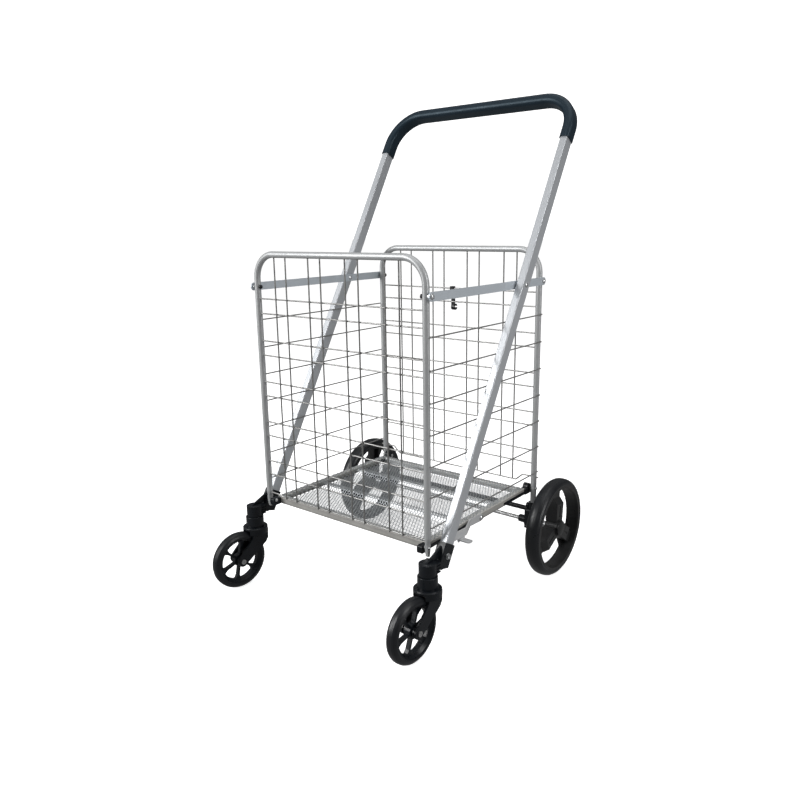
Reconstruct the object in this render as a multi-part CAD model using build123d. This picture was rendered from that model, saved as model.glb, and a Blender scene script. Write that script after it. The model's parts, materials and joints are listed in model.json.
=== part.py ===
"""Folding shopping trolley.

Two wire-filled tube frames stand one behind the other. A pair of flat top bars,
seven pairs of side wires and the tray are equal, parallel links between them, so
the front frame rises and swings back against the rear frame when the trolley
folds. The handle is a bent flat-sided tube that hangs on the top bars and carries
the front swivel casters. The large rear wheels turn on an axle below the rear frame.

Lengths are in millimetres. X runs across the trolley, Y from front to rear and
Z upwards. The model is built with Y = 0 in the plane of the front posts, and is
moved at the end so that the middle of its bounding box is over the origin.
"""
import os
from math import cos, radians, sin, sqrt

from build123d import *

os.makedirs("parts", exist_ok=True)

# ---- frames -------------------------------------------------------------
LINK = 364.0            # front posts to rear posts, and pivot to pivot of every link
POST_X = 198.0          # post centre, each side
TUBE_R = 6.0
TUBE_WALL = 1.0
FRAME_TOP = 655.0       # centre of the top tubes
CORNER_R = 45.0
FOOT_TOP = 190.0        # where the front posts start to flatten
FOOT_TIP = 157.0
REAR_POST_END = 112.0

# ---- wire grids ---------------------------------------------------------
WIRE_R = 1.4
GRID_X = (29.3, 58.6, 117.0, 146.5)
GRID_TOP_Z = 573.0
GRID_PITCH = 80.0
GRID_PAIR = 28.0
GRID_PAIRS = 5
GRID_BOTTOM_Z = 183.0
FRONT_JOG_Z = 186.0
REAR_JOG_Z = 197.0

# ---- parallel links -----------------------------------------------------
BAR_Z = 595.0           # height of the pivots of the top bars
BAR_H = 15.0
BAR_T = 2.0
BAR_X_FRONT = 208.0     # inner face, front run
BAR_X_REAR = 205.8      # inner face behind the joggle
JOGGLE_Y = (220.0, 234.0)
HANDLE_PIVOT_Y = 266.0
SIDE_WIRE_X = 207.0
SIDE_WIRE_R = 1.3
SIDE_WIRE_TOP = 531.0
SIDE_WIRE_STEP = 53.5
SIDE_WIRES = 7
TRAY_Z = 172.0          # height of the tray's pivots

# ---- tray ---------------------------------------------------------------
TRAY_HALF = 188.5
TRAY_FRONT = 12.0
TRAY_REAR = 343.0
TRAY_TOP = 175.0
TRAY_H = 13.0
SHEET = 1.2
FLANGE = 11.0
MESH_Z = 163.3          # underside of the mesh floor between its raised ribs
RIBS = ((121.0, 137.0), (231.0, 247.0))
PAN_HALF = 176.5        # half width of the mesh floor's pan
RAIL_T = 1.4            # plastic rails along the outside of the skirt
FRONT_RAIL_END = 134.0
REAR_RAIL_END = 262.0

# ---- handle -------------------------------------------------------------
LEG_X = 218.25
LEG_W = 14.5            # across the trolley
LEG_D = 23.0            # fore and aft, square to the leg
LEG_WALL = 1.5
LEG_CORNER = 1.8
LEAN = 29.8             # degrees back from upright
HANDLE_RISE = 393.0     # pivot to the centre of the top bar, along the leg
HANDLE_DROP = 518.0     # pivot to the foot of the tube, along the leg
HANDLE_R = 68.0
GRIP_START = 300.0      # pivot to the lower end of the grip, along the leg
GRIP_T = 3.3
GRIP_CORNER = 8.5
SOCKET_U = (-524.0, -481.0)     # lower and upper end of a caster socket's sleeve, along the leg
SOCKET_WALL = 2.0
SCREW_U = -502.0

# ---- casters ------------------------------------------------------------
SWIVEL_X = 217.5
SWIVEL_Y = -27.0
TRAIL = 42.0
CASTER_R = 57.0
CASTER_W = 22.0
CASTER_TURN = {"left": 8.0, "right": 2.0}   # how far each one has swivelled, in degrees
SPOKE_TURN = {"left": 10.0, "right": 19.0}  # where each wheel has rolled to, in degrees
CROWN_R = 24.5
COLLAR_R = 17.5
BOSS_R = 15.0
STEM_R = 5.0
CROWN_Z = (104.0, 118.0)
COLLAR_Z = (118.0, 139.0)
BOSS_Z = (140.0, 161.0)

# ---- rear axle and wheels -----------------------------------------------
AXLE_R = 4.0
AXLE_Z = 100.0
WHEEL_R = 100.0
WHEEL_X = 247.0
WHEEL_W = 30.0
RIM_R = 86.0
CROSS_Y = 373.0
CROSS_Z = 121.0
CROSS_R = 5.0

# ---- fits ---------------------------------------------------------------
RUN = 0.08              # radial play of a turning joint
PIVOT_R = 2.5

SIDES = (("left", -1), ("right", 1))
parts = {}


def rod(a, b, r):
    """A round bar from point a to point b."""
    a = Vector(*a)
    b = Vector(*b)
    plane = Plane(origin=a, z_dir=(b - a).normalized())
    return plane * Cylinder(r, (b - a).length, align=(Align.CENTER, Align.CENTER, Align.MIN))


def disc(x0, x1, y, z, r, bore=0.0):
    """A round disc across the trolley, from x0 to x1, with an optional bore."""
    low, high = min(x0, x1), max(x0, x1)
    shape = rod((low, y, z), (high, y, z), r)
    if bore:
        shape -= rod((low - 1, y, z), (high + 1, y, z), bore)
    return shape


def pin_down(x, y, z0, z1, r, bore=0.0):
    """An upright disc from z0 to z1, with an optional bore."""
    shape = rod((x, y, z0), (x, y, z1), r)
    if bore:
        shape -= rod((x, y, z0 - 1), (x, y, z1 + 1), bore)
    return shape


def block(x0, x1, y0, y1, z0, z1):
    """A rectangular block between two corners."""
    size = (abs(x1 - x0), abs(y1 - y0), abs(z1 - z0))
    return Pos((x0 + x1) / 2, (y0 + y1) / 2, (z0 + z1) / 2) * Box(*size)


def side_plate(points, x0, x1):
    """A plate across the trolley from x0 to x1, with the given (y, z) outline."""
    low, high = min(x0, x1), max(x0, x1)
    line = Polyline(*[(low, y, z) for y, z in points], close=True)
    return extrude(make_face(line), amount=high - low, dir=(1, 0, 0))


def flat_plate(points, z0, z1):
    """A level plate from z0 to z1, with the given (x, y) outline."""
    line = Polyline(*[(x, y, z0) for x, y in points], close=True)
    return extrude(make_face(line), amount=z1 - z0, dir=(0, 0, 1))


def along(path, section_r):
    """A round section swept along a path."""
    plane = Plane(origin=path @ 0, z_dir=path % 0)
    return sweep(plane * Circle(section_r), path=path)


def common(a, b):
    """The one solid that two shapes share."""
    return (a & b).solids()[0]


def dome(x, y, z, r, height, side):
    """A domed rivet head that rises from x towards the given side."""
    ball = (r * r + height * height) / (2 * height)
    tip = height / 2
    rise = sqrt(ball * ball - (ball - height + tip) ** 2)
    edge = x + side * 0.3
    arc = ThreePointArc((edge, y + r, z), (edge + side * tip, y + rise, z), (edge + side * height, y, z))
    back = Polyline((edge + side * height, y, z), (x, y, z), (x, y + r, z), (edge, y + r, z))
    return revolve(make_face([arc, back]), Axis((0, y, z), (1, 0, 0)), 360)


def turned(profile, x, y, z):
    """A solid of revolution about the X axis through (y, z), from an (offset, radius) outline."""
    line = Polyline(*[(x + a, y + r, z) for a, r in profile], close=True)
    return revolve(make_face(line), Axis((0, y, z), (1, 0, 0)), 360)


def solids(*shapes):
    """One compound of all the separate solids in the given shapes."""
    found = []
    for shape in shapes:
        found += list(shape.solids())
    return Compound(children=found)


# ---- U frames -----------------------------------------------------------
def u_frame(y, end_z):
    """A bent tube: up one post, across the top and down the other."""
    path = FilletPolyline(
        (-POST_X, y, end_z),
        (-POST_X, y, FRAME_TOP),
        (POST_X, y, FRAME_TOP),
        (POST_X, y, end_z),
        radius=CORNER_R,
    )
    tube = along(path, TUBE_R) - along(path, TUBE_R - TUBE_WALL)
    for _, s in SIDES:
        tube -= disc(s * (POST_X - 9), s * (POST_X + 9), y, BAR_Z, PIVOT_R + 0.02)
        for k in range(SIDE_WIRES):
            z = SIDE_WIRE_TOP - k * SIDE_WIRE_STEP
            tube -= disc(s * POST_X, s * (POST_X + 9), y, z, SIDE_WIRE_R + RUN)
    return tube


def foot(s):
    """The flattened, tapered foot of a front post, with the hole for the tray's pin."""
    top = Plane.XY.offset(FOOT_TOP) * Pos(s * POST_X, 0) * Circle(TUBE_R)
    mid = Plane.XY.offset(179) * Pos(s * POST_X, 0) * RectangleRounded(5.6, 10.6, 2.5)
    taper = loft([top, mid])
    tip = side_plate([(-5.3, 179), (5.3, 179), (3.6, 165), (1.8, FOOT_TIP), (-1.8, FOOT_TIP), (-3.6, 165)],
                     s * (POST_X - 2.8), s * (POST_X + 2.8))
    return (taper + tip) - disc(s * (POST_X - 9), s * (POST_X + 9), 0, TRAY_Z, 2.02)


front_tube = u_frame(0, FOOT_TOP)
for _, s in SIDES:
    front_tube += foot(s)
parts["front_frame_tube"] = front_tube

rear_tube = u_frame(LINK, REAR_POST_END)
for _, s in SIDES:
    rear_tube -= disc(s * (POST_X - 9), s * (POST_X + 9), LINK, TRAY_Z, 2.02)
parts["rear_frame_tube"] = rear_tube


# ---- wire grids ---------------------------------------------------------
def grid(y, outward, jog_z):
    """Upright and level wires of one frame; outward is the side that the uprights lie on."""
    wires = []
    wire_y = y + outward * 2 * (WIRE_R - 0.02)
    drop = sqrt(TUBE_R ** 2 - (wire_y - y) ** 2)
    for x in GRID_X:
        for s in (-1, 1):
            low = (s * x, wire_y, GRID_BOTTOM_Z - WIRE_R)
            high = (s * x, wire_y, FRAME_TOP - drop + 0.03)
            wires.append(rod(low, high, WIRE_R))
    reach = POST_X - TUBE_R + 0.03
    for k in range(GRID_PAIRS):
        for z in (GRID_TOP_Z - k * GRID_PITCH, GRID_TOP_Z - k * GRID_PITCH - GRID_PAIR):
            wires.append(rod((-reach, y, z), (reach, y, z), WIRE_R))
    path = FilletPolyline(
        (-reach, y, jog_z),
        (-172, y, jog_z),
        (-156, y, GRID_BOTTOM_Z),
        (156, y, GRID_BOTTOM_Z),
        (172, y, jog_z),
        (reach, y, jog_z),
        radius=6,
    )
    wires.append(along(path, WIRE_R))
    if outward > 0:
        for _, s in SIDES:
            end = POST_X + TUBE_R
            wires.append(rod((s * (end - 0.01), y, jog_z), (s * (end + 4.2), y, jog_z), WIRE_R))
    return solids(*wires)


parts["front_grid"] = grid(0, -1, FRONT_JOG_Z)
parts["rear_grid"] = grid(LINK, 1, REAR_JOG_Z)


# ---- flat top bars ------------------------------------------------------
def top_bar(s):
    """A flat bar with round ends that steps in behind the handle."""
    f, r, t = BAR_X_FRONT, BAR_X_REAR, BAR_T
    a, b = JOGGLE_Y
    y0, y1 = -BAR_H, LINK + BAR_H
    outline = [(f, y0), (f + t, y0), (f + t, a), (r + t, b), (r + t, y1), (r, y1), (r, b), (f, a)]
    plan = flat_plate([(s * x, y) for x, y in outline], BAR_Z - BAR_H / 2, BAR_Z + BAR_H / 2)
    ends = block(s * 200, s * 215, 0, LINK, BAR_Z - BAR_H, BAR_Z + BAR_H)
    for y in (0, LINK):
        ends += disc(s * 200, s * 215, y, BAR_Z, BAR_H / 2)
    bar = common(plan, ends)
    for y in (0, HANDLE_PIVOT_Y, LINK):
        bar -= disc(s * 200, s * 215, y, BAR_Z, PIVOT_R + RUN)
    return bar


for name, s in SIDES:
    parts["top_bar_" + name] = top_bar(s)


def through_rivet(s, y, bar_x):
    """A rivet through a post and a top bar: shank, spacer against the post and outer dome."""
    outer = bar_x + BAR_T
    shank = disc(s * (POST_X - TUBE_R - 1), s * (outer + 0.5), y, BAR_Z, PIVOT_R)
    spacer = disc(s * (POST_X + TUBE_R + 0.1), s * (bar_x - 0.15), y, BAR_Z, 4.5)
    head = dome(s * (outer + 0.15), y, BAR_Z, 5.0, 2.8, s)
    return shank + spacer + head


def cap_nut(s, y):
    """The black domed cap on the inner end of a rivet."""
    x = POST_X - TUBE_R - 0.4
    body = disc(s * x, s * (x - 2.4), y, BAR_Z, 3.8) + dome(s * (x - 2.4), y, BAR_Z, 3.8, 1.8, -s)
    return body - disc(s * (x + 1), s * (x - 2), y, BAR_Z, PIVOT_R + 0.02)


parts["front_pivot_rivets"] = solids(*[through_rivet(s, 0, BAR_X_FRONT) for _, s in SIDES])
parts["rear_pivot_rivets"] = solids(*[through_rivet(s, LINK, BAR_X_REAR) for _, s in SIDES])
parts["front_pivot_caps"] = solids(*[cap_nut(s, 0) for _, s in SIDES])
parts["rear_pivot_caps"] = solids(*[cap_nut(s, LINK) for _, s in SIDES])


# ---- side wires ---------------------------------------------------------
def side_wire(s, z):
    """One side wire, bent in at both ends to hook into the posts."""
    tip = s * (POST_X + TUBE_R - TUBE_WALL - 1.5)
    x = s * SIDE_WIRE_X
    path = FilletPolyline((tip, LINK, z), (x, LINK, z), (x, 0, z), (tip, 0, z), radius=2.4)
    return along(path, SIDE_WIRE_R)


for k in range(SIDE_WIRES):
    z = SIDE_WIRE_TOP - k * SIDE_WIRE_STEP
    parts[f"side_wires_{k + 1}"] = solids(*[side_wire(s, z) for _, s in SIDES])


# ---- tray ---------------------------------------------------------------
def tray_frame():
    """Folded sheet rim: an upright skirt with a flange turned in along its top."""
    z0 = TRAY_TOP - TRAY_H
    x, y0, y1 = TRAY_HALF, TRAY_FRONT, TRAY_REAR
    skirt = block(-x, x, y0, y1, z0, TRAY_TOP)
    skirt -= block(-x + SHEET, x - SHEET, y0 + SHEET, y1 - SHEET, z0 - 1, TRAY_TOP - SHEET)
    skirt -= block(-x + FLANGE, x - FLANGE, y0 + FLANGE, y1 - FLANGE, z0, TRAY_TOP + 1)
    lip = block(-x + SHEET, x - SHEET, y0 + SHEET, y1 - SHEET, z0, z0 + SHEET)
    lip -= block(-x + 6, x - 6, y0 + 6, y1 - 6, z0 - 1, z0 + SHEET + 1)
    return skirt + lip


def tray_mesh():
    """The mesh floor: a shallow pan with two ribs across it and a lip under the rim's flange."""
    t = SHEET
    y0, y1 = TRAY_FRONT + SHEET + 0.1, TRAY_REAR - SHEET - 0.1
    lip = TRAY_TOP - SHEET - t
    k = t - 0.1
    under = [(y0, lip, 0), (y0 + 11, lip, k), (y0 + 14, MESH_Z, k)]
    for a, b in RIBS:
        under += [(a, MESH_Z, -k), (a + 3, lip, -k), (b - 3, lip, k), (b, MESH_Z, k)]
    under += [(y1 - 14, MESH_Z, -k), (y1 - 11, lip, -k), (y1, lip, 0)]
    outline = [(y, z) for y, z, _ in under] + [(y + shift, z + t) for y, z, shift in reversed(under)]
    shape = side_plate(outline, -PAN_HALF, PAN_HALF)
    for _, s in SIDES:
        shape += block(s * (PAN_HALF - t), s * PAN_HALF, y0 + 11, y1 - 11, MESH_Z, lip + t)
        shape += block(s * (PAN_HALF - t), s * (TRAY_HALF - SHEET - 0.1), y0, y1, lip, lip + t)
    return shape


parts["tray_frame"] = tray_frame()
parts["tray_mesh"] = tray_mesh()


def tray_corner(s, y, toward):
    """A black corner block with its eye on the tray's pivot pin, and a rail along the skirt."""
    edge, rail_end = (TRAY_FRONT, FRONT_RAIL_END) if toward > 0 else (TRAY_REAR, REAR_RAIL_END)
    x0, x1 = s * 180.0, s * 190.6
    low, high = sorted((y - toward * 7, edge))
    body = block(x0, x1, low, high, TRAY_Z - 10.5, TRAY_Z + 3)
    body = fillet(body.edges().filter_by(Axis.X), 2.4)
    if toward < 0:
        body += disc(x0, x1, y - 6, TRAY_Z + 3, 8)
    body += block(s * TRAY_HALF, s * (TRAY_HALF + RAIL_T), edge - toward, rail_end, TRAY_Z - 9, TRAY_Z - 3)
    tongue = block(s * 180, s * (TRAY_HALF - SHEET - 0.1), edge + toward * SHEET, edge + toward * 14,
                   TRAY_TOP - TRAY_H + SHEET + 0.1, TRAY_Z - 4)
    return [body - disc(s * 175, s * 192, y, TRAY_Z, 2.0 + RUN), tongue]


front_corners = []
rear_corners = []
for _, s in SIDES:
    front_corners += [shape for shape in tray_corner(s, 0, 1)]
    rear_corners += [shape for shape in tray_corner(s, LINK, -1)]
parts["tray_front_blocks"] = solids(*front_corners)
parts["tray_rear_blocks"] = solids(*rear_corners)


def tray_pin(s, y, outer):
    """The rivet that the tray's corner turns on, with a head on each end."""
    shank = disc(s * 179.2, s * outer, y, TRAY_Z, 2.0)
    inner = dome(s * 179.6, y, TRAY_Z, 3.6, 2.2, -s)
    return shank + inner + dome(s * outer, y, TRAY_Z, 3.4, 1.6, s)


parts["tray_front_pins"] = solids(*[tray_pin(s, 0, POST_X + 2.9) for _, s in SIDES])
parts["tray_rear_pins"] = solids(*[tray_pin(s, LINK, POST_X + TUBE_R) for _, s in SIDES])


# ---- handle -------------------------------------------------------------
UP = Vector(0, sin(radians(LEAN)), cos(radians(LEAN)))      # along the leg
BACK = Vector(0, cos(radians(LEAN)), -sin(radians(LEAN)))   # square to the leg, rearwards
PIVOT = Vector(0, HANDLE_PIVOT_Y, BAR_Z)


def leg_point(x, u, v=0.0):
    """A point at x, u along the leg from its pivot and v behind its centre line."""
    return Vector(x, 0, 0) + PIVOT + UP * u + BACK * v


def leg_yz(u, v):
    """The same point as a (y, z) pair."""
    p = leg_point(0, u, v)
    return (p.Y, p.Z)


def handle_path(start):
    """Up one leg, across the top and down the other, from start along the leg."""
    return FilletPolyline(
        leg_point(-LEG_X, start),
        leg_point(-LEG_X, HANDLE_RISE),
        leg_point(LEG_X, HANDLE_RISE),
        leg_point(LEG_X, start),
        radius=HANDLE_R,
    )


def flat_oval(path, width, depth, radius):
    """A rounded rectangle swept along the handle; width lies in the handle's plane."""
    plane = Plane(origin=path @ 0, x_dir=(1, 0, 0), z_dir=path % 0)
    return sweep(plane * RectangleRounded(width, depth, radius), path=path)


def handle_tube():
    """The bent tube with its pivot holes and the screw holes at its feet."""
    path = handle_path(-HANDLE_DROP)
    tube = flat_oval(path, LEG_W, LEG_D, LEG_CORNER)
    tube -= flat_oval(path, LEG_W - 2 * LEG_WALL, LEG_D - 2 * LEG_WALL, LEG_CORNER - 1)
    screw = leg_point(0, SCREW_U)
    for _, s in SIDES:
        tube -= disc(s * 209, s * 228, PIVOT.Y, PIVOT.Z, PIVOT_R + 0.02)
        tube -= disc(s * 206, s * 232, screw.Y, screw.Z, 2.52)
    return tube


def handle_grip():
    """A soft sleeve over the top bar, both bends and the upper ends of the legs."""
    path = handle_path(GRIP_START)
    sleeve = flat_oval(path, LEG_W + 2 * GRIP_T, LEG_D + 2 * GRIP_T, GRIP_CORNER)
    return sleeve - flat_oval(path, LEG_W, LEG_D, LEG_CORNER)


parts["handle_tube"] = handle_tube()
parts["handle_grip"] = handle_grip()


def handle_rivet(s):
    """The rivet that a leg turns on, with a washer between the leg and the top bar."""
    leg_in, leg_out = LEG_X - LEG_W / 2, LEG_X + LEG_W / 2
    shank = disc(s * (BAR_X_REAR - 0.5), s * leg_out, PIVOT.Y, PIVOT.Z, PIVOT_R)
    washer = disc(s * (BAR_X_REAR + BAR_T + 0.15), s * leg_in, PIVOT.Y, PIVOT.Z, 4.5)
    inner = dome(s * (BAR_X_REAR - 0.15), PIVOT.Y, PIVOT.Z, 4.2, 1.6, -s)
    return shank + washer + inner + dome(s * leg_out, PIVOT.Y, PIVOT.Z, 4.6, 2.2, s)


parts["handle_pivot_rivets"] = solids(*[handle_rivet(s) for _, s in SIDES])


# ---- caster sockets -----------------------------------------------------
def caster_socket(s):
    """A plastic socket: a leaning sleeve for the leg, a round boss, a finned web and a gusset."""
    u0, u1 = SOCKET_U
    d = LEG_D / 2 + 3.5
    rear = LEG_D / 2 + SOCKET_WALL
    low, high = LEG_X - LEG_W / 2 - SOCKET_WALL, LEG_X + LEG_W / 2 + SOCKET_WALL
    toe = BOSS_Z[0] + 1
    nose = leg_yz(u0 + 4, -d)
    sleeve = side_plate([leg_yz(u1, -d), leg_yz(u1, rear), leg_yz(u0 + 4, rear), (leg_yz(u0, d)[0] - 14, toe),
                         (leg_yz(u0, -d)[0] + 6, toe), nose], s * low, s * high)
    sleeve = fillet(sleeve.edges().filter_by(Axis.Y, reverse=True).filter_by(
        lambda e: abs((e % 0.5).X) < 0.1 and e.length > 20), 1.6)
    boss = pin_down(s * SWIVEL_X, SWIVEL_Y, BOSS_Z[0], BOSS_Z[1], BOSS_R)
    web = side_plate([(SWIVEL_Y, toe), (14, toe), (14, BOSS_Z[1] - 3), (SWIVEL_Y, BOSS_Z[1] - 3)],
                     s * (SWIVEL_X - 7), s * (SWIVEL_X + 7))
    for k in range(4):
        z = toe + 1 + k * 5
        web += block(s * (SWIVEL_X - BOSS_R + 1), s * (SWIVEL_X + BOSS_R - 1), SWIVEL_Y, SWIVEL_Y + 18, z, z + 2.6)
    top = leg_yz(u1 - 6, -d + 1)
    gusset = side_plate([(SWIVEL_Y - 9, BOSS_Z[1] - 1), (10, BOSS_Z[1] - 1), top],
                        s * (LEG_X - 2), s * (LEG_X + 2))
    shape = sleeve + boss + web + gusset
    leg = Plane(origin=leg_point(s * LEG_X, -HANDLE_DROP), x_dir=(1, 0, 0), z_dir=UP)
    shape -= leg * extrude(RectangleRounded(LEG_W, LEG_D, LEG_CORNER), amount=90)
    shape -= pin_down(s * SWIVEL_X, SWIVEL_Y, BOSS_Z[0] - 1, BOSS_Z[1] - 5, STEM_R + RUN)
    screw = leg_point(0, SCREW_U)
    shape -= disc(s * (LEG_X - 20), s * (LEG_X + 20), screw.Y, screw.Z, 2.52)
    return shape


for name, s in SIDES:
    parts["caster_socket_" + name] = caster_socket(s)


def socket_screw(s):
    """The hex-socket screw through a sleeve and its leg, with its washer and nut."""
    p = leg_point(0, SCREW_U)
    outer = LEG_X + LEG_W / 2 + SOCKET_WALL
    inner = LEG_X - LEG_W / 2 - SOCKET_WALL
    shank = disc(s * inner, s * outer, p.Y, p.Z, 2.5)
    washer = disc(s * outer, s * (outer + 1), p.Y, p.Z, 5.4)
    head = disc(s * (outer + 1), s * (outer + 3.6), p.Y, p.Z, 4.2)
    hexagon = Plane(origin=(s * (outer + 1.8), p.Y, p.Z), z_dir=(s, 0, 0)) * RegularPolygon(2.2, 6)
    head -= extrude(hexagon, amount=4)
    return shank + washer + head


parts["socket_screws"] = solids(*[socket_screw(s) for _, s in SIDES])


# ---- support arm and release pedal --------------------------------------
ARM_TOP = 180.0
ARM_H = 14.0
ARM_T = 2.5
ARM_X = LEG_X - LEG_W / 2 - ARM_T     # inner face of the run beside the leg
ARM_IN = 190.4                        # inner face of the run beside the tray
ARM_END = 173.0
ARM_DROP = 4.0                        # how much lower the arm is at its rear end


def support_arm():
    """A strip from the right leg to the tray's side, cranked inwards, with a round rear end."""
    t = ARM_T
    a, b = 98.0, 137.0
    end = ARM_END + 9
    outline = [(ARM_X, 30), (ARM_X + t, 30), (ARM_X + t, a + 1), (ARM_IN + t, b + 1), (ARM_IN + t, end),
               (ARM_IN, end), (ARM_IN, b), (ARM_X, a)]
    plan = flat_plate(outline, 150, 195)
    d = LEG_D / 2
    centre = ARM_TOP - ARM_DROP - ARM_H / 2
    low, high = SOCKET_U[1] + 1, SOCKET_U[1] + 15
    side = [leg_yz(low, -4), leg_yz(high, -4), leg_yz(high - 4, d), (76, ARM_TOP),
            (ARM_END, centre + ARM_H / 2), (ARM_END, centre - ARM_H / 2), (76, ARM_TOP - ARM_H),
            (62, ARM_TOP - ARM_H), leg_yz(low, d + 2)]
    cut = side_plate(side, 185, 215) + disc(185, 215, ARM_END, centre, ARM_H / 2)
    return common(plan, cut)


def arm_stud():
    """The round-headed stud at the rear end of the arm."""
    z = ARM_TOP - ARM_DROP - ARM_H / 2
    x = ARM_IN + ARM_T
    return disc(x, x + 1.5, ARM_END, z, 5.0) + dome(x + 1.5, ARM_END, z, 5.0, 2.2, 1)


parts["support_arm"] = support_arm()
parts["arm_stud"] = arm_stud()

PEDAL_X = ARM_X + ARM_T / 2
PEDAL_Y = (76.0, 90.0)
PEDAL_Z = 162.2
PEDAL_END = 231.5


def pedal_hinge():
    """Two ears under the arm and the pin between them."""
    shapes = []
    for y in (PEDAL_Y[0] - 2.4, PEDAL_Y[1] + 0.4):
        ear = block(ARM_X, ARM_X + ARM_T, y, y + 2, PEDAL_Z - 3, ARM_TOP - ARM_H - 0.7)
        shapes.append(ear - rod((PEDAL_X, y - 1, PEDAL_Z), (PEDAL_X, y + 3, PEDAL_Z), 1.02))
    ends = (PEDAL_Y[0] - 3.4, PEDAL_Y[1] + 3.4)
    shapes.append(rod((PEDAL_X, ends[0], PEDAL_Z), (PEDAL_X, ends[1], PEDAL_Z), 1.0))
    return solids(*shapes)


def release_pedal():
    """A small foot tab that turns on the pin under the support arm."""
    y0, y1 = PEDAL_Y
    barrel = rod((PEDAL_X, y0, PEDAL_Z), (PEDAL_X, y1, PEDAL_Z), 2.6)
    tab = block(PEDAL_X, PEDAL_END, y0, y1, PEDAL_Z - 1, PEDAL_Z + 1)
    tab = fillet(tab.edges().filter_by(Axis.Z).group_by(Axis.X)[-1], 5)
    heel = block(PEDAL_X - 9, PEDAL_X, y0, y1, PEDAL_Z - 1, PEDAL_Z + 1)
    shape = barrel + tab + heel
    return shape - rod((PEDAL_X, y0 - 1, PEDAL_Z), (PEDAL_X, y1 + 1, PEDAL_Z), 1.0 + RUN)


parts["pedal_hinge"] = pedal_hinge()
parts["release_pedal"] = release_pedal()


# ---- front casters ------------------------------------------------------
def fork(s):
    """The caster's crown and its two legs, reaching forward and down to the wheel's axle."""
    z0, z1 = CROWN_Z
    crown = pin_down(s * SWIVEL_X, SWIVEL_Y, z0, z1, CROWN_R)
    crown = chamfer(crown.edges().filter_by(GeomType.CIRCLE).group_by(Axis.Z)[-1], 1.5)
    half = CASTER_W / 2 + 1.6
    shape = crown
    front = SWIVEL_Y - TRAIL
    for face in (-1, 1):
        x0 = s * SWIVEL_X + face * half
        x1 = x0 + face * 4.2
        profile = [(SWIVEL_Y - 15, z0 + 8), (SWIVEL_Y + 19, z0 + 8), (SWIVEL_Y + 18, 92), (SWIVEL_Y + 13, 84),
                   (front + 8.5, CASTER_R - 6.5), (front - 8.5, CASTER_R + 6.5), (SWIVEL_Y - 17, 98)]
        shape += side_plate(profile, x0, x1) + disc(x0, x1, front, CASTER_R, 10.5)
    shape -= disc(s * SWIVEL_X - half, s * SWIVEL_X + half, front, CASTER_R, CASTER_R + 2.5)
    shape -= disc(s * SWIVEL_X - 20, s * SWIVEL_X + 20, front, CASTER_R, 3.02)
    shape -= pin_down(s * SWIVEL_X, SWIVEL_Y, z0 - 12, z1 + 1, STEM_R)
    return shape


def swivel_collar(s):
    """The bearing collar between the crown and the socket, with a raised lip."""
    z0, z1 = COLLAR_Z
    collar = pin_down(s * SWIVEL_X, SWIVEL_Y, z0, z1, COLLAR_R, STEM_R)
    rims = collar.edges().filter_by(GeomType.CIRCLE).group_by(Axis.Z)[-1]
    collar = fillet(rims.sort_by(SortBy.LENGTH)[-1], 1.2)
    return collar - pin_down(s * SWIVEL_X, SWIVEL_Y, z1 - 1.5, z1 + 1, BOSS_R - 1)


def swivel_stem(s):
    """The steel stem that joins the crown, the collar and the socket's bore."""
    return pin_down(s * SWIVEL_X, SWIVEL_Y, CROWN_Z[0] + 3, BOSS_Z[1] - 5.3, STEM_R)


def caster_axle(s):
    """The bolt through the fork and the wheel, with a hex-socket head on each side."""
    front = SWIVEL_Y - TRAIL
    half = CASTER_W / 2 + 1.6 + 4.2
    shape = disc(s * SWIVEL_X - half, s * SWIVEL_X + half, front, CASTER_R, 3.0)
    for face in (-1, 1):
        x = s * SWIVEL_X + face * half
        head = disc(x, x + face * 2.2, front, CASTER_R, 5.0)
        hexagon = Plane(origin=(x + face * 0.8, front, CASTER_R), z_dir=(face, 0, 0)) * RegularPolygon(2.2, 6)
        shape += head - extrude(hexagon, amount=3)
    return shape


def caster_rim(s, turn):
    """The wheel's plastic body: a hub, six flared spokes and a ring under the tyre."""
    y, z = SWIVEL_Y - TRAIL, CASTER_R
    x = s * SWIVEL_X
    hub = disc(x - 10.5, x + 10.5, y, z, 9) + disc(x - 5.5, x + 5.5, y, z, 13)
    ring = turned([(-10, 44.5), (-10, 46), (-6, 44), (6, 44), (10, 46), (10, 44.5), (5, 39.5), (-5, 39.5)], x, y, z)
    shape = hub + ring
    half = [(12, 2.2), (31, 2.6), (37, 4.6), (41, 8.6)]
    outline = [(y + w, z + r) for r, w in half] + [(y - w, z + r) for r, w in reversed(half)]
    for k in range(6):
        arm = side_plate(outline, x - 4, x + 4)
        shape += arm.rotate(Axis((0, y, z), (1, 0, 0)), 60 * k + turn)
    return shape - disc(x - 12, x + 12, y, z, 3.0 + RUN)


def caster_tyre(s):
    """A smooth tyre with rounded shoulders that sits on the ring."""
    r, w = CASTER_R, CASTER_W / 2
    half = [(10, 46.05), (w, 46.05), (w, r - 7.5), (w - 1.2, r - 4.6), (w - 3.6, r - 1.8), (w - 7, r - 0.3)]
    outline = [(6, 44.05)] + half + [(0, r)] + [(-a, q) for a, q in half[::-1]] + [(-6, 44.05)]
    return turned(outline, s * SWIVEL_X, SWIVEL_Y - TRAIL, CASTER_R)


def swivelled(shape, name, s):
    """A caster's piece, turned about its stem to where the caster rests."""
    axis = Axis((s * SWIVEL_X, SWIVEL_Y, 0), (0, 0, 1))
    return shape.rotate(axis, -CASTER_TURN[name])


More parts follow.
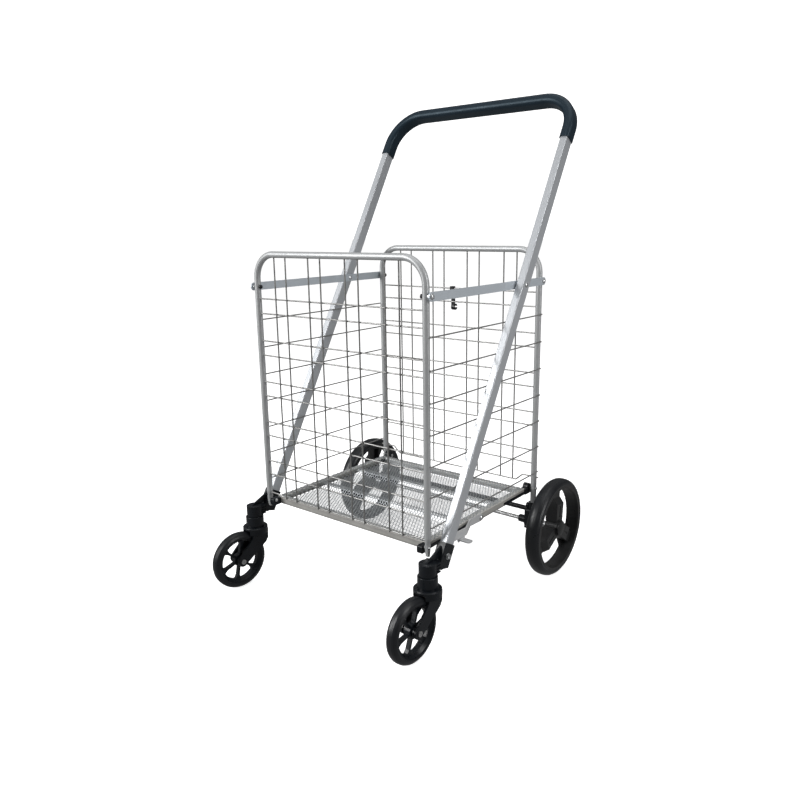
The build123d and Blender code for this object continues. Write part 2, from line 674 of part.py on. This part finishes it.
for name, s in SIDES:
    parts["caster_fork_" + name] = swivelled(fork(s), name, s)
    parts["swivel_collar_" + name] = swivelled(swivel_collar(s), name, s)
    parts["swivel_stem_" + name] = swivelled(swivel_stem(s), name, s)
    parts["caster_axle_" + name] = swivelled(caster_axle(s), name, s)
    parts["caster_rim_" + name] = swivelled(caster_rim(s, -SPOKE_TURN[name]), name, s)
    parts["caster_tyre_" + name] = swivelled(caster_tyre(s), name, s)


# ---- rear axle ----------------------------------------------------------
BOSS_FACE = 185.6       # inner face of the small boss that the post's rivet passes through


def axle_bracket(s):
    """The plastic foot of a rear post: a round socket, a flat body and the axle's eye."""
    body = block(s * 185, s * 207, LINK - 12, LINK + 15, 84, 128)
    body = fillet(body.edges().filter_by(Axis.X), 5)
    shape = body + pin_down(s * POST_X, LINK, 122, 142, 9.5) + disc(s * 183.5, s * 209, LINK, AXLE_Z, 12)
    shape += disc(s * BOSS_FACE, s * 191, LINK - 3, 134, 5.5)
    shape -= pin_down(s * POST_X, LINK, REAR_POST_END, 143, TUBE_R)
    shape -= disc(s * 180, s * 212, LINK, AXLE_Z, AXLE_R)
    return shape - disc(s * 180, s * 190, CROSS_Y, CROSS_Z, CROSS_R)


for name, s in SIDES:
    parts["axle_bracket_" + name] = axle_bracket(s)

parts["bracket_rivets"] = solids(*[dome(s * BOSS_FACE, LINK - 3, 134, 2.8, 1.4, -s) for _, s in SIDES])
parts["rear_axle"] = disc(-259, 259, LINK, AXLE_Z, AXLE_R)
parts["axle_cross_tube"] = disc(-190, 190, CROSS_Y, CROSS_Z, CROSS_R, CROSS_R - 1)
parts["axle_collars"] = solids(*[disc(s * 168, s * 183.4, LINK, AXLE_Z, 8, AXLE_R) for _, s in SIDES])
parts["axle_spacers"] = solids(*[disc(s * 209.2, s * 231.5, LINK, AXLE_Z, 6.5, AXLE_R) for _, s in SIDES])


# ---- rear wheels --------------------------------------------------------
def spoke(x, s, turn):
    """One deep spoke: a raised paddle near the hub that steps down, flared where it meets the rim."""
    y, z = LINK, AXLE_Z
    side = [(0, 14), (0, 50), (-9, 62), (-9, 83), (-25, 83), (-25, 14)]
    line = Polyline(*[(x + s * (WHEEL_W / 2 - 3.5 + a), y, z + r) for a, r in side], close=True)
    plate = extrude(make_face(line), amount=26, both=True, dir=(0, 1, 0))
    plan = side_plate([(y - 12.5, z + 10), (y + 12.5, z + 10), (y + 13.5, z + 50), (y + 11, z + 84),
                       (y - 11, z + 84), (y - 13.5, z + 50)], x - 20, x + 20)
    flare = side_plate([(y - 12, z + 55), (y + 12, z + 55), (y + 26, z + 79.5), (y - 26, z + 79.5)],
                       x - s * 13.5, x - s * 9)
    shape = common(plate, plan) + flare
    hollow = block(x - s * 20, x + s * (WHEEL_W / 2 - 15.5), y - 9, y + 9, z + 20, z + 78)
    groove = block(x + s * (WHEEL_W / 2 - 4.7), x + s * 20, y - 1.6, y + 1.6, z + 22, z + 46)
    shape = shape - hollow - groove
    return shape.rotate(Axis((0, y, z), (1, 0, 0)), turn)


def rear_rim(s):
    """The wheel's plastic body: hub, three wide spokes and a deep barrel."""
    x = s * WHEEL_X
    w = WHEEL_W / 2
    outline = [(-w + 1.5, RIM_R + 1.5), (-w + 1.5, RIM_R - 4), (w - 0.5, RIM_R - 4), (w - 0.5, RIM_R + 1.5),
               (w - 2.5, RIM_R + 1.5), (w - 2.5, RIM_R), (-w + 3.5, RIM_R), (-w + 3.5, RIM_R + 1.5)]
    barrel = turned([(s * a, r) for a, r in outline], x, LINK, AXLE_Z)
    shape = barrel + disc(x - 13, x + 13, LINK, AXLE_Z, 17)
    for k in range(3):
        shape += spoke(x, s, 120 * k - 4)
    return shape - disc(x - 20, x + 20, LINK, AXLE_Z, AXLE_R + RUN)


def rear_tyre(s):
    """A smooth tyre with a full, rounded tread that fills the rim between its lips."""
    r, w, b = WHEEL_R, WHEEL_W / 2, RIM_R
    half = [(w, b + 4), (w - 0.8, r - 7), (w - 3, r - 3.8), (w - 6.5, r - 1.4), (w - 10.5, r - 0.3)]
    lip = [(w - 0.4, b + 1.5), (w - 2.5, b + 1.5), (w - 2.5, b)]
    out = [(a, q) for a, q in lip[::-1]] + half
    inner = [(-w + 3.5, b), (-w + 3.5, b + 1.5), (-w + 1.4, b + 1.5)]
    outline = out + [(0, r)] + [(-a, q) for a, q in half[::-1]] + inner[::-1]
    if s < 0:
        outline = [(-a, q) for a, q in outline]
    return turned(outline, s * WHEEL_X, LINK, AXLE_Z)


def hub_cap(s):
    """The round cap over the axle's end."""
    x = s * (WHEEL_X + 13)
    cap = disc(x, x + s * 3, LINK, AXLE_Z, 15) + dome(x + s * 3, LINK, AXLE_Z, 15, 2.5, s)
    return cap - disc(x - s * 1, x + s * 1.4, LINK, AXLE_Z, AXLE_R + 0.6)


for name, s in SIDES:
    parts["rear_rim_" + name] = rear_rim(s)
    parts["rear_tyre_" + name] = rear_tyre(s)
    parts["hub_cap_" + name] = hub_cap(s)


# ---- storage hook -------------------------------------------------------
def storage_hook():
    """A small plastic clip that hangs from the rear grid's top wire, behind the wires."""
    x = -6.0
    y = LINK + 7
    z = GRID_TOP_Z - 39.5
    clip = block(x - 4, x + 4, LINK - 3.4, LINK + 5.2, GRID_TOP_Z - 3.6, GRID_TOP_Z + 4)
    clip -= rod((x - 6, LINK, GRID_TOP_Z), (x + 6, LINK, GRID_TOP_Z), WIRE_R)
    strip = block(x - 4, x + 4, LINK + 1.8, LINK + 5.2, z, GRID_TOP_Z)
    hook = disc(x - 4, x + 4, y, z, 6.5) + strip
    hook -= disc(x - 5, x + 5, y, z, 3.2)
    hook -= block(x - 5, x + 5, y, y + 8, z - 1.6, z + 1.6)
    return clip + hook


parts["storage_hook"] = storage_hook()


# ---- placing and writing ------------------------------------------------
boxes = [shape.bounding_box() for shape in parts.values()]
MID_X = (min(b.min.X for b in boxes) + max(b.max.X for b in boxes)) / 2
MID_Y = (min(b.min.Y for b in boxes) + max(b.max.Y for b in boxes)) / 2
LOW_Z = min(b.min.Z for b in boxes)
print(f"moved by {-MID_X:.4f} {-MID_Y:.4f} {-LOW_Z:.4f}")
for name, shape in parts.items():
    placed = Pos(-MID_X, -MID_Y, -LOW_Z) * shape
    whole = Compound(children=list(placed.solids()))
    export_step(whole, f"parts/{name}.step")
    print(f"{name}: {len(whole.solids())} solids, {whole.volume / 1000:.2f} cm3")
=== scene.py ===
"""Looks of the folding shopping trolley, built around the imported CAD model.

All positions are in metres in the model's own frame: +Z up, +Y towards the large
wheels and the grip, and the floor at z = 0. Every CAD part keeps its shape and gets
a procedural material. The tray's plain floor sheet is replaced by real expanded metal.
"""

import json
import math

import bmesh
import bpy
from mathutils import Matrix, Vector


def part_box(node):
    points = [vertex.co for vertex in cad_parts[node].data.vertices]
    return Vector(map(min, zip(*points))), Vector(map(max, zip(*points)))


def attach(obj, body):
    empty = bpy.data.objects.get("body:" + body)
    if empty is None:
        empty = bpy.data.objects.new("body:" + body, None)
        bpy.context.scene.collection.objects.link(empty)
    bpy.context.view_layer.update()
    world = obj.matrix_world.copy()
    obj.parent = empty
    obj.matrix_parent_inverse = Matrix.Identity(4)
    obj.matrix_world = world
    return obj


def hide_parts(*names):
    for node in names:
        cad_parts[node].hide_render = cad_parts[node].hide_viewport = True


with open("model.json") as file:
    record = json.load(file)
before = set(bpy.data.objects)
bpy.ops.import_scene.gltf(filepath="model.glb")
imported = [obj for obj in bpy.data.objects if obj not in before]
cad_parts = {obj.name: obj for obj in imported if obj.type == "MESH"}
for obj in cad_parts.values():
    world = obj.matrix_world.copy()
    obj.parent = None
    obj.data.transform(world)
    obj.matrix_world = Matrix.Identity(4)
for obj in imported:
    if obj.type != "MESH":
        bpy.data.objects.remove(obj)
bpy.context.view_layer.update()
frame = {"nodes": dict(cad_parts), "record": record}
nodes = frame["nodes"]


# ---- node helpers ---------------------------------------------------------
class Shader:
    """A Principled material with short calls for the nodes that feed it."""

    def __init__(self, name):
        self.mat = bpy.data.materials.new(name)
        self.mat.use_nodes = True
        self.tree = self.mat.node_tree
        self.bsdf = self.tree.nodes["Principled BSDF"]
        coords = self.tree.nodes.new("ShaderNodeTexCoord")
        self.place = coords.outputs["Object"]

    def link(self, a, b):
        self.tree.links.new(a, b)

    def set(self, **values):
        for key, value in values.items():
            self.bsdf.inputs[key.replace("_", " ")].default_value = value

    def noise(self, scale, detail=3.0, roughness=0.5):
        node = self.tree.nodes.new("ShaderNodeTexNoise")
        node.inputs["Scale"].default_value = scale
        node.inputs["Detail"].default_value = detail
        node.inputs["Roughness"].default_value = roughness
        self.link(self.place, node.inputs["Vector"])
        return node.outputs["Fac"]

    def cells(self, scale):
        node = self.tree.nodes.new("ShaderNodeTexVoronoi")
        node.inputs["Scale"].default_value = scale
        self.link(self.place, node.inputs["Vector"])
        return node.outputs["Distance"]

    def spread(self, value, low, high, start=0.3, end=0.7):
        """Maps start..end of a value to low..high."""
        node = self.tree.nodes.new("ShaderNodeMapRange")
        for key, number in (("From Min", start), ("From Max", end), ("To Min", low), ("To Max", high)):
            node.inputs[key].default_value = number
        self.link(value, node.inputs["Value"])
        return node.outputs["Result"]

    def mix(self, factor, a, b):
        """Mixes two colours, each a fixed RGB or another node's colour."""
        node = self.tree.nodes.new("ShaderNodeMix")
        node.data_type = "RGBA"
        self.link(factor, node.inputs["Factor"])
        for value, socket in ((a, node.inputs[6]), (b, node.inputs[7])):
            if isinstance(value, tuple):
                socket.default_value = (*value, 1.0)
            else:
                self.link(value, socket)
        return node.outputs[2]

    def math(self, operation, a, b):
        node = self.tree.nodes.new("ShaderNodeMath")
        node.operation = operation
        for value, socket in ((a, node.inputs[0]), (b, node.inputs[1])):
            if isinstance(value, (int, float)):
                socket.default_value = value
            else:
                self.link(value, socket)
        return node.outputs[0]

    def facing_up(self):
        """1 on surfaces that face up, 0 on the others."""
        geometry = self.tree.nodes.new("ShaderNodeNewGeometry")
        split = self.tree.nodes.new("ShaderNodeSeparateXYZ")
        self.link(geometry.outputs["Normal"], split.inputs[0])
        return self.spread(split.outputs["Z"], 0.0, 1.0, 0.3, 0.95)

    def height(self):
        split = self.tree.nodes.new("ShaderNodeSeparateXYZ")
        self.link(self.place, split.inputs[0])
        return split.outputs["Z"]

    def color(self, value):
        self.link(value, self.bsdf.inputs["Base Color"])

    def rough(self, value):
        self.link(value, self.bsdf.inputs["Roughness"])

    def bump(self, value, distance, strength=1.0):
        node = self.tree.nodes.new("ShaderNodeBump")
        node.inputs["Distance"].default_value = distance
        node.inputs["Strength"].default_value = strength
        self.link(value, node.inputs["Height"])
        self.link(node.outputs["Normal"], self.bsdf.inputs["Normal"])


def shade(color, factor):
    return tuple(channel * factor for channel in color)


def silver_paint(name, color, metallic, roughness):
    """Silver paint: fine flake, slow tone changes, faint scuffs and orange peel."""
    s = Shader(name)
    flake = s.spread(s.cells(1500.0), 0.0, 1.0, 0.05, 0.75)
    tone = s.spread(s.noise(9.0, 4.0), 0.0, 1.0)
    base = s.mix(tone, shade(color, 0.93), shade(color, 1.05))
    base = s.mix(s.math("MULTIPLY", flake, 0.22), base, shade(color, 1.35))
    scuff = s.spread(s.noise(75.0, 8.0, 0.72), 0.0, 1.0, 0.62, 0.74)
    base = s.mix(s.math("MULTIPLY", scuff, 0.35), base, shade(color, 0.62))
    s.color(base)
    grain = s.spread(s.noise(420.0, 2.0), roughness - 0.03, roughness + 0.04)
    s.rough(s.math("ADD", grain, s.math("MULTIPLY", scuff, 0.12)))
    s.set(Metallic=metallic, Coat_Weight=0.25, Coat_Roughness=0.18)
    s.bump(s.noise(330.0, 2.0), 0.000008)
    return s.mat


def bright_steel(name, color, roughness, metallic=0.9, spangle=0.0, edges=None):
    """Plated or galvanised steel, with dull patches and an optional crystal spangle.

    edges is the lowest and highest local Z of a rolled rim; a painted highlight lightens the
    colour along its top and a painted shadow darkens it along its lower edge.
    """
    s = Shader(name)
    tone = s.spread(s.noise(26.0, 5.0, 0.6), 0.0, 1.0)
    base = s.mix(tone, shade(color, 0.82), shade(color, 1.06))
    if spangle:
        crystal = s.spread(s.cells(260.0), 0.0, 1.0, 0.1, 0.7)
        base = s.mix(s.math("MULTIPLY", crystal, spangle), base, shade(color, 1.3))
    spot = s.spread(s.noise(180.0, 6.0, 0.7), 0.0, 1.0, 0.62, 0.72)
    base = s.mix(s.math("MULTIPLY", spot, 0.4), base, shade(color, 0.5))
    # painted highlight along the rim's top and painted shadow along its lower edge
    if edges:
        low, high = edges
        base = s.mix(s.spread(s.height(), 0.0, 0.6, high - 0.0025, high - 0.0008), base, shade(color, 2.0))
        base = s.mix(s.spread(s.height(), 0.65, 0.0, low, low + 0.004), base, shade(color, 0.25))
    s.color(base)
    s.rough(s.spread(s.noise(90.0, 5.0), roughness - 0.07, roughness + 0.12))
    s.set(Metallic=metallic)
    s.bump(s.noise(900.0, 2.0), 0.00003)
    return s.mat


def black_plastic(name, color, roughness, grain=850.0):
    """Moulded black plastic with a fine spark-eroded grain and a little dust on top."""
    s = Shader(name)
    tone = s.spread(s.noise(38.0, 4.0), 0.0, 1.0)
    base = s.mix(tone, shade(color, 0.8), shade(color, 1.25))
    dust = s.math("MULTIPLY", s.facing_up(), s.spread(s.noise(60.0, 6.0, 0.7), 0.0, 0.12, 0.45, 0.8))
    base = s.mix(dust, base, (0.06, 0.06, 0.06))
    s.color(base)
    s.rough(s.spread(s.noise(140.0, 4.0), roughness - 0.07, roughness + 0.1))
    s.set(Specular_IOR_Level=0.3)
    s.bump(s.noise(grain, 3.0, 0.6), 0.00012, 0.7)
    return s.mat


def foam_grip():
    """Dense smooth foam: a soft skin with shallow pores and a slow change of tone."""
    s = Shader("grip_foam")
    tone = s.spread(s.noise(16.0, 3.0), 0.0, 1.0)
    base = s.mix(tone, (0.009, 0.017, 0.025), (0.013, 0.023, 0.033))
    pores = s.spread(s.cells(620.0), 1.0, 0.0, 0.02, 0.32)
    base = s.mix(s.math("MULTIPLY", pores, 0.35), base, (0.003, 0.005, 0.008))
    s.color(base)
    s.rough(s.spread(s.noise(70.0, 4.0), 0.34, 0.46))
    s.set(Specular_IOR_Level=0.28, Specular_Tint=(0.66, 0.86, 1.0, 1.0))
    s.bump(s.noise(700.0, 3.0), 0.00012, 0.6)
    return s.mat


def tyre_rubber():
    """Smooth dark rubber with fine mould texture and scuffed patches."""
    s = Shader("tyre_rubber")
    tone = s.spread(s.noise(24.0, 4.0), 0.0, 1.0)
    base = s.mix(tone, (0.0075, 0.0085, 0.0105), (0.013, 0.0145, 0.017))
    scuff = s.spread(s.noise(95.0, 7.0, 0.7), 0.0, 0.4, 0.55, 0.8)
    base = s.mix(scuff, base, (0.032, 0.033, 0.034))
    s.color(base)
    s.rough(s.spread(s.noise(150.0, 4.0), 0.27, 0.40))
    s.set(Specular_IOR_Level=0.35)
    s.bump(s.noise(1100.0, 2.0), 0.00008, 0.6)
    return s.mat


look = {
    "frame_paint": silver_paint("frame_paint", (0.43, 0.44, 0.445), 0.3, 0.42),
    "bar_steel": silver_paint("bar_steel", (0.60, 0.65, 0.70), 0.35, 0.33),
    "handle_paint": silver_paint("handle_paint", (0.51, 0.53, 0.555), 0.40, 0.34),
    "arm_steel": silver_paint("arm_steel", (0.60, 0.605, 0.615), 0.3, 0.36),
    "wire_steel": bright_steel("wire_steel", (0.29, 0.288, 0.282), 0.3, 0.5),
    "zinc_steel": bright_steel("zinc_steel", (0.62, 0.63, 0.64), 0.27),
    "axle_steel": bright_steel("axle_steel", (0.50, 0.50, 0.50), 0.3),
    "tray_steel": bright_steel("tray_steel", (0.40, 0.42, 0.435), 0.38, 0.6, 0.3),
    "black_plastic": black_plastic("black_plastic", (0.0058, 0.0076, 0.0102), 0.30),
    "black_tube": black_plastic("black_tube", (0.010, 0.010, 0.012), 0.34, 420.0),
    "grip_foam": foam_grip(),
    "tyre_rubber": tyre_rubber(),
}

to_tray = nodes["tray_frame"].matrix_world.inverted()
# the rim's lowest and highest local Z, which place its painted highlight and painted shadow
tray_painted_rim_span = [(to_tray @ corner).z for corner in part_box("tray_frame")]
own_look = {
    "tray_frame": bright_steel("tray_rim_steel", (0.50, 0.49, 0.465), 0.4, 0.35, 0.15, tray_painted_rim_span),
    "rear_rim_left": black_plastic("wheel_plastic", (0.019, 0.0195, 0.020), 0.34),
}
own_look["rear_rim_right"] = own_look["rear_rim_left"]
own_look["hub_cap_left"] = own_look["hub_cap_right"] = own_look["rear_rim_left"]

for part in frame["record"]["subparts"]:
    name = part["node"]
    obj = nodes[name]
    obj.data.materials.clear()
    obj.data.materials.append(own_look.get(name, look[part["material_slot"]]))


# ---- expanded-metal tray floor ---------------------------------------------
def spread_run(points):
    """Points along straight runs; each entry is (position, height, half cells to it)."""
    line = [points[0][:2]]
    for position, height, count in points[1:]:
        start = line[-1]
        for k in range(1, count + 1):
            t = k / count
            line.append((start[0] + (position - start[0]) * t, start[1] + (height - start[1]) * t))
    return line


def along(line, index):
    """A point of the line at a fractional index."""
    low = max(0, min(len(line) - 2, math.floor(index)))
    t = index - low
    a, b = line[low], line[low + 1]
    return a[0] + (b[0] - a[0]) * t, a[1] + (b[1] - a[1]) * t


EDGE = 0.0005             # rim's outer edge to the mesh's edge
LIP_IN = 0.0115           # rim's outer edge to the inside of the flat lip
SIDE_FOOT = 0.0130        # rim's outer edge to the foot of the pan's side walls
END_FOOT = 0.0145         # the same at the front and rear
RIB_STARTS = (0.109, 0.219)
RIB_SLOPE = 0.003
RIB_TOP = 0.010
RIB_DROP = 0.0012         # lip down to the top of a rib
STRAND_REACH = 0.17       # half width of a junction, in half cells
STRAND_TILT = 0.00025
SHEET = 0.0007


def expanded_metal():
    """Diamond mesh pressed into a shallow pan with two ribs, its edges lying on the rim."""
    low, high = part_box("tray_frame")
    lip = high.z + 0.0010
    floor = low.z + 0.0025
    across = spread_run([
        (low.x + EDGE, lip, 0), (low.x + LIP_IN, lip, 3), (low.x + SIDE_FOOT, floor, 3),
        (high.x - SIDE_FOOT, floor, 105), (high.x - LIP_IN, lip, 3), (high.x - EDGE, lip, 3),
    ])
    runs = [(low.y + EDGE, lip, 0), (low.y + LIP_IN, lip, 2), (low.y + END_FOOT, floor, 2)]
    for start in RIB_STARTS:
        rise = low.y + start
        crest = lip - RIB_DROP
        runs += [(rise, floor, 16), (rise + RIB_SLOPE, crest, 2), (rise + RIB_SLOPE + RIB_TOP, crest, 2),
                 (rise + 2 * RIB_SLOPE + RIB_TOP, floor, 2)]
    runs += [(high.y - END_FOOT, floor, 14), (high.y - LIP_IN, lip, 2), (high.y - EDGE, lip, 2)]
    deep = spread_run(runs)
    verts, faces, corner = [], [], {}

    def point(i, j, di, dj):
        x, zx = along(across, i + di)
        y, zy = along(deep, j + dj)
        lean = (dj > 0) - (dj < 0)
        verts.append((x, y, max(zx, zy) + STRAND_TILT * lean))
        return len(verts) - 1

    for j in range(len(deep)):
        for i in range(len(across)):
            if (i + j) % 2 == 0:
                corner[i, j] = [point(i, j, STRAND_REACH, 0), point(i, j, 0, STRAND_REACH),
                                point(i, j, -STRAND_REACH, 0), point(i, j, 0, -STRAND_REACH)]
    for (i, j), (right, up, left, down) in corner.items():
        faces.append((right, up, left, down))
        ahead = corner.get((i + 1, j + 1))
        if ahead:
            faces.append((right, ahead[3], ahead[2], up))
        behind = corner.get((i - 1, j + 1))
        if behind:
            faces.append((up, behind[0], behind[3], left))
    mesh = bpy.data.meshes.new("tray_expanded_metal")
    mesh.from_pydata(verts, [], faces)
    mesh.update()
    net = bpy.data.objects.new("tray_expanded_metal", mesh)
    bpy.context.scene.collection.objects.link(net)
    solid = net.modifiers.new("thickness", "SOLIDIFY")
    solid.thickness = SHEET
    solid.offset = -1.0
    graph = bpy.context.evaluated_depsgraph_get()
    thick = bpy.data.meshes.new_from_object(net.evaluated_get(graph))
    net.modifiers.clear()
    net.data = thick
    net.data.materials.append(look["tray_steel"])
    return net


net = expanded_metal()
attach(net, "tray")
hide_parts("tray_mesh")


# ---- floor, light and camera -----------------------------------------------
def plain(name, color, glow):
    """A plain pale surface with a slight glow of its own, so that it stays even to the horizon."""
    s = Shader(name)
    tone = s.spread(s.noise(2.0, 2.0), 0.0, 1.0)
    s.color(s.mix(tone, shade(color, 0.99), color))
    s.set(Roughness=0.7, Specular_IOR_Level=0.1)
    s.set(Emission_Color=(1.0, 1.0, 1.0, 1.0), Emission_Strength=glow)
    return s.mat


def stage(name, mesh, material):
    """A piece of the studio. It takes shadows, but neither lights the object nor shows in it."""
    obj = bpy.data.objects.new(name, mesh)
    obj.data.materials.append(material)
    bpy.context.scene.collection.objects.link(obj)
    obj.visible_diffuse = obj.visible_glossy = obj.visible_transmission = obj.visible_shadow = False


def studio_dome(radius):
    """A white dome far behind everything."""
    form = bmesh.new()
    bmesh.ops.create_icosphere(form, subdivisions=4, radius=radius)
    mesh = bpy.data.meshes.new("studio_dome")
    form.to_mesh(mesh)
    form.free()
    stage("studio_dome", mesh, plain("studio_dome", (0.9, 0.9, 0.9), 1.3))


def studio_floor(half):
    """A wide flat floor at z = 0."""
    mesh = bpy.data.meshes.new("studio_floor")
    corners = [(-half, -half, 0), (half, -half, 0), (half, half, 0), (-half, half, 0)]
    mesh.from_pydata(corners, [], [(0, 1, 2, 3)])
    stage("studio_floor", mesh, plain("studio_floor", (0.88, 0.88, 0.88), 0.80))


studio_floor(30.0)
studio_dome(45.0)


def studio_world():
    """Soft grey surroundings: bright overhead, dark near the horizon and pale below it."""
    world = bpy.data.worlds.new("studio")
    world.use_nodes = True
    tree = world.node_tree
    background = tree.nodes["Background"]
    coords = tree.nodes.new("ShaderNodeTexCoord")
    split = tree.nodes.new("ShaderNodeSeparateXYZ")
    ramp = tree.nodes.new("ShaderNodeValToRGB")
    tree.links.new(coords.outputs["Generated"], split.inputs[0])
    lift = tree.nodes.new("ShaderNodeMath")
    lift.operation = "MULTIPLY_ADD"
    lift.inputs[1].default_value = lift.inputs[2].default_value = 0.5
    tree.links.new(split.outputs["Z"], lift.inputs[0])
    tree.links.new(lift.outputs[0], ramp.inputs["Fac"])
    tree.links.new(ramp.outputs["Color"], background.inputs["Strength"])
    tones = ((0.0, 0.30), (0.46, 0.22), (0.52, 0.05), (0.62, 0.10), (0.95, 0.40))
    while len(ramp.color_ramp.elements) < len(tones):
        ramp.color_ramp.elements.new(0.5)
    for element, (place, tone) in zip(ramp.color_ramp.elements, tones):
        element.position = place
        element.color = (tone, tone, tone, 1.0)
    background.inputs["Color"].default_value = (1.0, 1.0, 1.0, 1.0)
    bpy.context.scene.world = world


studio_world()


def area_light(name, place, target, size, power):
    """A rectangular white light at a place, aimed at a target."""
    data = bpy.data.lights.new(name, "AREA")
    data.shape = "RECTANGLE"
    data.size, data.size_y = size
    data.energy = power
    lamp = bpy.data.objects.new(name, data)
    lamp.location = place
    lamp.rotation_euler = (Vector(target) - Vector(place)).to_track_quat("-Z", "Y").to_euler()
    bpy.context.scene.collection.objects.link(lamp)


area_light("key", (-1.9, -2.6, 1.7), (0.0, 0.0, 0.45), (1.2, 2.4), 110.0)
area_light("top", (0.2, 0.1, 3.2), (0.0, 0.0, 0.3), (2.2, 2.2), 20.0)
area_light("edge", (2.6, 0.2, 1.4), (0.0, 0.1, 0.5), (0.6, 2.2), 34.0)

YAW = math.radians(39.0702)
PITCH = math.radians(13.3345)
ROLL = math.radians(-0.9082)
CAMERA = Vector((0.8926, -1.0988, 0.7039))
view = Vector((-math.sin(YAW) * math.cos(PITCH), math.cos(YAW) * math.cos(PITCH), -math.sin(PITCH)))
right = Vector((math.cos(YAW), math.sin(YAW), 0.0))
up = right.cross(view)
right, up = (math.cos(ROLL) * right + math.sin(ROLL) * up,
             math.cos(ROLL) * up - math.sin(ROLL) * right)
lens = bpy.data.cameras.new("camera")
lens.lens = 33.198
lens.sensor_width = 36.0
lens.clip_end = 200.0
camera = bpy.data.objects.new("camera", lens)
camera.matrix_world = Matrix((
    (right.x, up.x, -view.x, CAMERA.x),
    (right.y, up.y, -view.y, CAMERA.y),
    (right.z, up.z, -view.z, CAMERA.z),
    (0.0, 0.0, 0.0, 1.0),
))
bpy.context.scene.collection.objects.link(camera)
bpy.context.scene.camera = camera
bpy.context.scene.view_settings.view_transform = "Standard"
